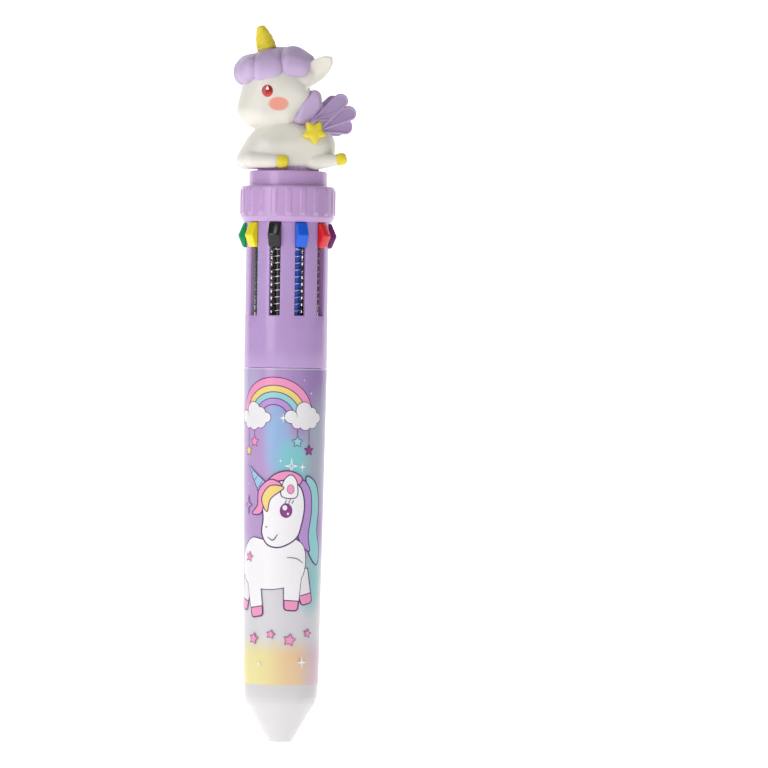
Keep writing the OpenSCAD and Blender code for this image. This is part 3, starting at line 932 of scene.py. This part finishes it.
def hull_of(place, rows, detail=4):
    """The convex hull of ellipsoids. A row is a centre, which place() puts on the figure, and radii."""
    bm = bmesh.new()
    for x, y, z, *radii in rows:
        centre = place(x, y, z)
        for v in bmesh.ops.create_icosphere(bm, subdivisions=detail, radius=1.0)["verts"]:
            v.co = centre + Vector([c * r for c, r in zip(v.co, radii)])
    result = bmesh.ops.convex_hull(bm, input=bm.verts[:])
    inside = result["geom_interior"] + result["geom_unused"]
    drop = {e for e in inside if isinstance(e, bmesh.types.BMVert)}
    bmesh.ops.delete(bm, geom=list(drop), context="VERTS")
    return drained(bm)


def flip(solid):
    """The mirror of a solid across the figure's middle."""
    return [(x, -y, z) for x, y, z in solid[0]], turned_over(solid[1])


def fused(name, solids, material, voxel, rounds):
    """One soft skin over overlapping solids of the figure."""
    obj = piece(name, joined(solids), material, "figure")
    remesh = obj.modifiers.new("skin", "REMESH")
    remesh.mode = "VOXEL"
    remesh.voxel_size = voxel * MM
    relax = obj.modifiers.new("soft", "SMOOTH")
    relax.factor = 0.5
    relax.iterations = rounds
    apply_modifiers(obj)
    return obj


def leaf(root, tip, width, dish, thick, facing):
    """A dished leaf between two points that opens towards a direction."""
    axis = tip - root
    across = axis.cross(facing).normalized()
    out = across.cross(axis).normalized()
    if out.dot(facing) < 0:
        out = -out
    rows, columns, widest = 24, 17, 0.42
    points = []
    for side in (1, -1):
        for i in range(rows):
            s = i / (rows - 1)
            past = max(0.0, (s - widest) / (1 - widest))
            share = max(0.02, 1 - past ** 2.2) ** 0.6 if past else 0.72 + 0.28 * s / widest
            for j in range(columns):
                t = 2 * j / (columns - 1) - 1
                rim = thick / 2 * sqrt(max(0.0, 1 - t * t)) * min(1.0, (1.03 - s) * 7) ** 0.5
                depth = -dish * (1 - t * t) * sin(pi * min(1, s * 0.8 + 0.2)) + side * rim
                points.append(tuple(root + axis * s + across * (width / 2 * share) * t + out * depth))
    n = rows * columns
    faces = []
    for i in range(rows - 1):
        for j in range(columns - 1):
            a = i * columns + j
            faces.append((a, a + 1, a + columns + 1, a + columns))
            faces.append((n + a, n + a + columns, n + a + columns + 1, n + a + 1))
    border = [*range(columns), *range(2 * columns - 1, n, columns),
              *range(n - 2, n - columns - 1, -1), *range(n - 2 * columns, 0, -columns)]
    for a, b in zip(border, border[1:] + border[:1]):
        faces.append((a, n + a, n + b, b))
    return points, faces


def vinyl(name, hex_code, variation=0.03, rough=0.42):
    return plastic(name, hex_code, rough=rough, variation=variation, soft=0.25, grain=0.05)


def body_material():
    """Warm white vinyl with a soft blush on each cheek."""
    n = Nodes("figure_white")
    x, y, z = n.split(n.position())
    cheek = seen(-2.2, -6.0, 137.95)
    off = n.oval(x, z, cheek.x * MM, cheek.z * MM, 2.25 * MM, 1.5 * MM)
    side = n.ramp(n.math("ABSOLUTE", y), 3.5 * MM, 4.2 * MM)
    blush = n.math("MULTIPLY", n.fade(off, 0.62, 1.25), side)
    base = n.mix(n.noise(160.0, 2.0), "dedad0", "ebe8e0")
    colour = n.mix(n.math("MULTIPLY", blush, 0.92), base, "f29a86")
    n.surface(colour, 0.38, 0.08, 1500.0)
    n.scatter(0.3, (1.0, 0.75, 0.55), 0.0015)
    n.grain(7000.0, 0.04)
    return n.material


VINYL = body_material()
HAIR = vinyl("figure_hair", "c3add1")
MANE = vinyl("figure_mane", "b29bc3")
GOLD = vinyl("figure_gold", "e4d236", variation=0.05, rough=0.38)


def make_body():
    """Head, torso, tucked legs and ears in one soft skin."""
    rows = [(-3.3, 0, 141.4, 6.9, 6.4, 7.2), (-7.2, 0, 136.8, 4.1, 4.9, 3.9),
            (-7.3, 0, 135.5, 3.1, 3.7, 2.6)]
    for depth in (-2.6, 2.6):
        rows += [(-5.2, depth, 136.5, 4.4, 3.3, 3.2), (-1.7, depth, 136.8, 3.4, 3.3, 3.3),
                 (0.3, depth, 140.2, 3.9, 3.6, 4.0)]
    head = hull_of(upright, rows)
    torso = hull_of(local, [
        (-4.6, 0, 4.2, 5.0, 6.2, 4.6), (4.9, 0, 4.6, 5.3, 6.7, 4.9), (-2.2, 0, 8.2, 4.4, 4.6, 3.0),
        (0.7, 0, 1.2, 8.9, 6.6, 1.5), (0.7, -4.9, 0.9, 8.2, 1.9, 1.25), (0.7, 4.9, 0.9, 8.2, 1.9, 1.25),
        (-9.3, 0, 1.7, 2.05, 4.9, 1.95), (5.2, 0, 7.3, 3.6, 4.6, 2.5)])
    neck = hull_of(local, [(-2.0, 0, 7.0, 4.4, 4.2, 3.0), (-2.0, 0, 12.0, 4.2, 3.6, 3.0)], 3)
    fore = hull_of(local, [(-8.8, -4.7, 1.4, 1.75, 1.6, 1.7), (-4.4, -6.2, 1.1, 1.38, 1.35, 1.4)], 3)
    hind = hull_of(local, [(4.6, -5.6, 1.1, 2.2, 1.6, 1.7), (9.0, -6.5, 1.6, 1.28, 1.25, 1.28)], 3)
    ear = leaf(seen(2.2, -4.7, 142.3), seen(9.2, -6.3, 148.2), 5.0, 1.25, 1.3, Vector((-0.3, -1.0, 0.2)))
    base = hull_of(seen, [(0.8, -3.2, 142.4, 2.4, 2.2, 2.6), (4.6, -4.3, 143.9, 1.6, 0.75, 1.7)], 3)
    sides = [fore, hind, ear, base]
    obj = fused("unicorn_skin", [head, torso, neck] + sides + [flip(s) for s in sides], VINYL, 0.19, 6)
    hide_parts("unicorn_body")
    return obj


def make_hair():
    """Three puffed lobes on each side, parted on the crown."""
    lobes = {
        "front": [(-8.4, -0.9, 146.7, 2.5, 2.2, 2.1), (-9.3, -2.3, 145.0, 2.0, 2.2, 2.85),
                  (-6.4, -1.2, 147.1, 2.4, 2.2, 2.1), (-8.4, -3.6, 145.6, 2.0, 1.9, 2.5)],
        "middle": [(-4.2, -1.4, 147.2, 3.6, 2.8, 3.0), (-6.1, -4.3, 145.5, 2.2, 2.0, 2.8),
                   (-3.6, -4.6, 145.7, 2.4, 2.0, 3.0), (-4.6, -3.6, 147.1, 3.2, 2.0, 2.3)],
        "rear": [(0.7, -1.7, 147.9, 3.4, 2.9, 2.9), (3.6, -2.2, 147.6, 1.9, 1.9, 1.6),
                 (-0.1, -4.5, 146.4, 2.4, 2.0, 2.8), (2.1, -4.5, 146.2, 2.2, 2.0, 2.6),
                 (4.5, -2.8, 148.2, 0.7, 1.1, 0.6)]}
    for name, rows in lobes.items():
        lobe = hull_of(seen, rows)
        for side, shape in (("right", lobe), ("left", flip(lobe))):
            fused("hair_%s_%s" % (name, side), [shape], HAIR, 0.18, 26)
    crown = hull_of(seen, [(-5.0, 0, 146.8, 4.4, 3.4, 2.7), (-2.6, 0, 147.2, 3.4, 3.4, 3.45),
                           (0.4, 0, 147.3, 4.2, 4.4, 3.3)])
    fused("hair_crown", [crown], HAIR, 0.25, 8)
    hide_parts("forelock")


def make_mane():
    """A rounded band down the back of the neck."""
    rows = []
    for across, z, *radii in ((5.5, 139.5, 1.5, 2.3, 1.75), (5.6, 137.4, 1.65, 2.3, 1.7),
                              (4.6, 135.2, 1.6, 2.3, 1.6), (2.2, 134.9, 1.4, 2.3, 1.2),
                              (3.2, 137.4, 1.4, 2.3, 1.6)):
        at = seen(across, -3.4, z)
        rows += [(at.x, side * at.y, at.z, *radii) for side in (1, -1)]
    obj = piece("neck_mane_band", hull_of(lambda *at: Vector(at), rows), HAIR, "figure")
    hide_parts("neck_mane")


def axes(along, normal, origin):
    """The matrix that lays +X along one direction and +Z along another, from an origin."""
    matrix = Matrix((along, normal.cross(along), normal)).transposed().to_4x4()
    matrix.translation = origin
    return matrix


def capsule(length, r0, r1, off, steps=14):
    """Outline of a tapered capsule along +X, drawn in by an offset."""
    a0 = acos((r0 - r1) / length)
    out = []
    for k in range(steps + 1):
        a = -a0 + 2 * a0 * k / steps
        out.append((length + (r1 - off) * cos(a), (r1 - off) * sin(a)))
    foot_r = max(0.05, r0 - off)
    for k in range(steps + 1):
        a = a0 + (TAU - 2 * a0) * k / steps
        out.append((foot_r * cos(a) + off, foot_r * sin(a)))
    return out


# A feather's rim in section: how far it is drawn in, and its height
RIM = [(0.28, -0.62), (0.07, -0.5), (0.0, -0.3), (0.0, 0.12), (0.07, 0.36), (0.2, 0.48), (0.34, 0.46),
       (0.46, 0.34), (0.56, 0.24), (0.75, 0.2)]


def make_wings():
    """Three rimmed feathers each side, fanned about the wing's root."""
    root = seen(6.0, -6.6, 133.4)
    outward = Vector((-0.2, -1.0, 0.0))
    tips = {"upper": (11.2, 139.0, 1.6), "middle": (13.0, 136.3, 1.65), "lower": (12.2, 133.4, 1.7)}
    for wing, mirrored in (("wing_right", False), ("wing_left", True)):
        for order, (name, (x, z, r)) in enumerate(tips.items()):
            tip = Vector((seen(x, -4.6, z).x, -4.6 + 0.25 * order, z))
            along = (tip - root).normalized()
            up = along.cross(outward).normalized()
            normal = up.cross(along).normalized()
            length = (tip - root).length
            rings = [[(a, b, h) for a, b in capsule(length, 1.5, r, off)] for off, h in RIM]
            solid = placed(ringed(rings), axes(along, normal, root + normal * 0.1 * order))
            solid = flip(solid) if mirrored else solid
            obj = piece("%s_%s" % (wing, name), solid, MANE, "figure")
            sharpen(obj, 60)
        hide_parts(wing)


def make_stars():
    """A puffed star with rounded points covers each wing's root."""
    def outline(scale):
        out = []
        for a in spokes(100):
            wave = (0.5 + 0.5 * cos(5 * a)) ** 1.35
            r = 2.62 * (0.67 + 0.33 * wave) * scale
            out.append((r * sin(a + 0.57), r * cos(a + 0.57)))
        return out

    profile = [(0.93, -0.9), (1.0, -0.6), (1.0, 0.05), (0.985, 0.3), (0.93, 0.52), (0.84, 0.68),
               (0.7, 0.79), (0.5, 0.86), (0.25, 0.9), (0.05, 0.91)]
    normal = Vector((0.05, -1.0, 0.03)).normalized()
    across = Vector((0, 0, 1)).cross(normal).normalized()
    solid = placed(ringed([[(x, y, h) for x, y in outline(s)] for s, h in profile]),
                   axes(across, normal, seen(5.6, -7.1, 131.95)))
    for name, shape in (("star_right", solid), ("star_left", flip(solid))):
        obj = piece(name + "_puffed", shape, GOLD, "figure")
        sharpen(obj, 70)
        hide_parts(name)


def make_horn():
    """A blunt cone with a two-start spiral groove."""
    rows, columns, length, lead = 60, 72, 5.35, 2.7
    base_r, tip_r, bulge, groove_depth = 2.15, 0.95, 0.3, 0.2
    rings = []
    for i in range(rows + 1):
        s = i / rows
        z = length * s
        cone = base_r + (tip_r - base_r) * s + bulge * sin(pi * min(1.0, s / 0.85))
        cap = sqrt(max(0.0, 1 - max(0.0, (s - 0.9) / 0.1) ** 2))
        foot = 0.84 + 0.16 * sqrt(1 - (1 - min(1.0, s / 0.09)) ** 2)
        ring = []
        for a in spokes(columns):
            phase = (z / (lead / 2) + 2 * a / TAU) % 1.0
            groove = exp(-((phase - 0.5) / 0.11) ** 2) * (1 - smooth_step(s, 0.8, 0.95))
            r = cone * cap * foot - groove_depth * groove
            ring.append((r * cos(-a), r * sin(-a), z))
        rings.append(ring)
    lean = Matrix.Rotation(radians(-17), 4, "Y")
    lean.translation = seen(-4.95, 0, 149.95)
    points, faces = placed(ringed(rings), lean)
    obj = piece("horn_spiral", (points, turned_over(faces)), GOLD, "figure")
    sharpen(obj, 70)
    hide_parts("horn")


def make_hooves():
    """Four rounded hooves in one piece, on the ends of the legs."""
    profile = fillet([(0.01, -0.2, 0), (1.3, -0.2, 0.4), (1.5, 1.0, 1.1), (1.22, 2.35, 1.0),
                      (0.01, 2.45, 0)], 6, closed=False)
    hoof = ringed([[(r * cos(a), r * sin(a), z) for a in spokes(40)] for r, z in profile])
    solids = []
    for at, turn, size, rise in ((local(-3.7, -6.25, 1.1), -6, 1.0, 0),
                                 (local(9.3, -6.55, 1.65), -12, 0.92, 12)):
        matrix = (Matrix.Translation(at) @ Matrix.Rotation(radians(turn), 4, "Z")
                  @ Matrix.Rotation(radians(90 - rise), 4, "Y") @ Matrix.Scale(size, 4))
        solid = placed(hoof, matrix)
        solids += [solid, flip(solid)]
    obj = piece("hooves_round", joined(solids), GOLD, "figure")
    sharpen(obj, 70)
    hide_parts("hooves")


EYE_ACROSS, EYE_Z = -4.6, 140.65


def eye_material():
    """Red that darkens towards the top."""
    n = Nodes("eye_red")
    _, _, z = n.split(n.position())
    shine = n.ramp(z, (EYE_Z - 1.3) * MM, (EYE_Z + 0.6) * MM)
    n.surface(n.mix(shine, "d63a34", "9a1420"), 0.12, 0.05, 900.0, Coat_Weight=0.15)
    return n.material


def on_skin(skin, name, height, half_w, half_h, material, lift, dome, drop=0.0):
    """A domed oval laid on each side of the head; drop narrows its top, as in a teardrop."""
    tree = BVHTree.FromPolygons([v.co / MM for v in skin.data.vertices],
                                [tuple(p.vertices) for p in skin.data.polygons])
    centre = seen(EYE_ACROSS, -6.0, height)
    rings, columns, tuck = 8, 48, 0.09
    for side, sign in (("right", -1), ("left", 1)):
        points = []
        for i in range(rings + 1):
            s = i / rings
            rise = lift + dome * (1 - s * s) - (tuck if i == rings else 0)
            for a in spokes(columns):
                x = centre.x + half_w * s * cos(a) * (1 - drop * sin(a))
                z = centre.z + half_h * s * sin(a)
                hit, normal, _, _ = tree.ray_cast(Vector((x, sign * 20.0, z)), Vector((0, -sign, 0)))
                points.append(tuple(hit + normal * rise))
        faces = ring_faces(rings + 1, columns)
        solid = points, turned_over(faces) if sign < 0 else faces
        obj = piece("%s_%s" % (name, side), solid, material, "figure")


skin = make_body()
make_hair()
make_mane()
make_wings()
make_stars()
make_horn()
make_hooves()
EYE_HALO = plastic("eye_halo", "f3c9c2", rough=0.4, variation=0.02)
EYE_WHITE = plastic("eye_white", "f8f4f2", rough=0.15, coat=0.5, variation=0.01)
on_skin(skin, "eye_halo", EYE_Z, 1.4, 1.62, EYE_HALO, 0.01, 0.02)
on_skin(skin, "eye", EYE_Z, 1.22, 1.42, eye_material(), 0.03, 0.16)
on_skin(skin, "eye_light", 141.3, 0.27, 0.56, EYE_WHITE, 0.17, 0.03, drop=0.75)


# ------------------------ stage, light and camera

def studio_material():
    n = Nodes("studio_white")
    n.put(n.shader.inputs["Base Color"], n.mix(n.noise(3.0), "f4f4f4", "f8f8f8"))
    n.shader.inputs["Roughness"].default_value = 0.9
    n.shader.inputs["Specular IOR Level"].default_value = 0.1
    n.shader.inputs["Emission Color"].default_value = (1.0, 1.0, 1.0, 1.0)
    n.shader.inputs["Emission Strength"].default_value = 0.84
    return n.material


def make_stage():
    """A pale floor that curves up into a backdrop behind the pen."""
    half, back, top, floor_z = 3200, 2600, 4200, -4
    turn = Matrix.Rotation(radians(VIEW_AZIMUTH), 4, "Z")
    profile = fillet([(-half, floor_z, 0), (back, floor_z, 800), (back, top, 0)], 16, closed=False)
    points = [tuple(turn @ Vector((x, y, z))) for y, z in profile for x in (-half, half)]
    faces = [(2 * i, 2 * i + 1, 2 * i + 3, 2 * i + 2) for i in range(len(profile) - 1)]
    mesh_object("studio_sweep", (points, faces), studio_material())


def soft_light(name, turn, elevation, distance, size, power):
    """A panel of light, turned about the pen from the camera's side and aimed at its middle."""
    a, e = radians(VIEW_AZIMUTH + turn), radians(elevation)
    back = Vector((sin(a) * cos(e), -cos(a) * cos(e), sin(e)))
    data = bpy.data.lights.new(name, "AREA")
    data.shape = "RECTANGLE"
    data.size, data.size_y = size
    data.energy = power
    light = bpy.data.objects.new(name, data)
    light.location = Vector((0, 0, 0.08)) + back * distance
    light.rotation_euler = back.to_track_quat("Z", "Y").to_euler()
    bpy.context.scene.collection.objects.link(light)


def make_lights():
    soft_light("key", -42, 20, 0.8, (0.35, 0.6), 1.85)
    soft_light("fill", 55, 12, 0.9, (0.4, 0.7), 0.1)
    soft_light("glint", -32, 46, 0.8, (0.1, 0.14), 0.2)
    soft_light("top", -10, 75, 0.8, (0.6, 0.4), 0.6)
    sky_light, sky_seen = 0.21, 1.0
    world = bpy.data.worlds.new("studio")
    world.use_nodes = True
    tree = world.node_tree
    sky = tree.nodes["Background"]
    sky.inputs["Color"].default_value = (1.0, 1.0, 1.0, 1.0)
    # Past the stage's edge the camera sees white, while the sky lights the pen by less
    path = tree.nodes.new("ShaderNodeLightPath")
    strength = tree.nodes.new("ShaderNodeMath")
    strength.operation = "MULTIPLY_ADD"
    strength.inputs[1].default_value = sky_seen - sky_light
    strength.inputs[2].default_value = sky_light
    tree.links.new(path.outputs["Is Camera Ray"], strength.inputs[0])
    tree.links.new(strength.outputs[0], sky.inputs["Strength"])
    bpy.context.scene.world = world


def make_camera():
    """A long lens at the height of the pen's middle, rolled a little as in the view wanted."""
    aside, height, distance, roll = 0.0214, 0.07785, 1.2, 0.83
    a = radians(VIEW_AZIMUTH)
    back = Vector((sin(a), -cos(a), 0))
    right = Vector((cos(a), sin(a), 0))
    camera = bpy.data.objects.new("camera", bpy.data.cameras.new("camera"))
    camera.data.lens = 259.5
    camera.data.sensor_width = 36
    camera.data.dof.use_dof = False
    camera.data.clip_start, camera.data.clip_end = 0.05, 20
    camera.location = right * aside + Vector((0, 0, height)) + back * distance
    facing = back.to_track_quat("Z", "Y").to_matrix().to_4x4()
    lean = Matrix.Rotation(radians(roll), 4, "Z")
    camera.rotation_euler = (facing @ lean).to_euler()
    bpy.context.scene.collection.objects.link(camera)
    bpy.context.scene.camera = camera
    bpy.context.scene.view_settings.view_transform = "Standard"


make_stage()
make_lights()
make_camera()
